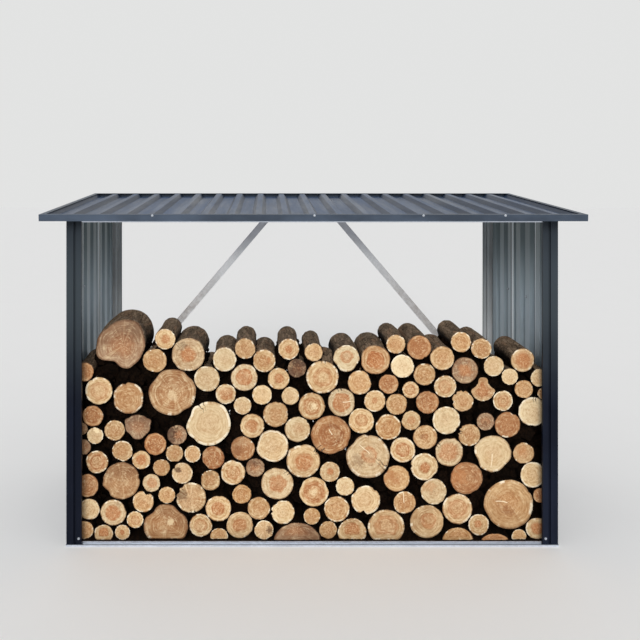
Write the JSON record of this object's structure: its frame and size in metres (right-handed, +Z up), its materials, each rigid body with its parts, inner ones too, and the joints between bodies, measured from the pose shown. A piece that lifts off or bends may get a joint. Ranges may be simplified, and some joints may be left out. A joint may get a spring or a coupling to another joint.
{
  "type": "log store",
  "caption": "Free-standing ribbed-steel log store: folded corner posts, sheet side walls, low mono-pitch roof, open front and back with diagonal braces, filled with a stack of round logs.",
  "frame": {"origin": "on the ground, under the middle of the roof's plan", "axes": "+X to the right along the open front, +Y from front to rear, +Z up"},
  "size_m": [2.45, 0.98, 1.59],
  "materials": {
    "post_paint": "anthracite coated sheet steel, semi-gloss",
    "wall_sheet": "anthracite coated sheet steel, semi-gloss",
    "roof_sheet": "anthracite coated sheet steel, semi-gloss",
    "trim_paint": "anthracite coated sheet steel, semi-gloss",
    "galvanised": "galvanised sheet steel",
    "log_wood": "sawn softwood ends with dark bark"
  },
  "bodies": {
    "root": {"floor_rail_front": "galvanised", "floor_rail_rear": "galvanised", "floor_rail_left": "galvanised", "floor_rail_right": "galvanised", "post_front_left": "post_paint", "post_front_right": "post_paint", "post_rear_left": "post_paint", "post_rear_right": "post_paint", "header_front": "galvanised", "header_rear": "galvanised", "top_rail_left": "galvanised", "top_rail_right": "galvanised", "wall_left_front_sheet": "wall_sheet", "wall_left_middle_sheet": "wall_sheet", "wall_left_rear_sheet": "wall_sheet", "wall_right_front_sheet": "wall_sheet", "wall_right_middle_sheet": "wall_sheet", "wall_right_rear_sheet": "wall_sheet", "roof_sheet_1": "roof_sheet", "roof_sheet_2": "roof_sheet", "roof_sheet_3": "roof_sheet", "roof_sheet_4": "roof_sheet", "roof_sheet_5": "roof_sheet", "fascia_front": "trim_paint", "trim_rear": "trim_paint", "trim_left": "trim_paint", "trim_right": "trim_paint", "brace_left": "galvanised", "brace_right": "galvanised", "log_course_01": "log_wood", "log_course_02": "log_wood", "log_course_03": "log_wood", "log_course_04": "log_wood", "log_course_05": "log_wood", "log_course_06": "log_wood", "log_course_07": "log_wood", "log_course_08": "log_wood", "log_course_09": "log_wood", "log_course_10": "log_wood", "log_course_11": "log_wood", "log_course_12": "log_wood", "log_course_13": "log_wood", "log_course_14": "log_wood"}
  },
  "joints": []
}
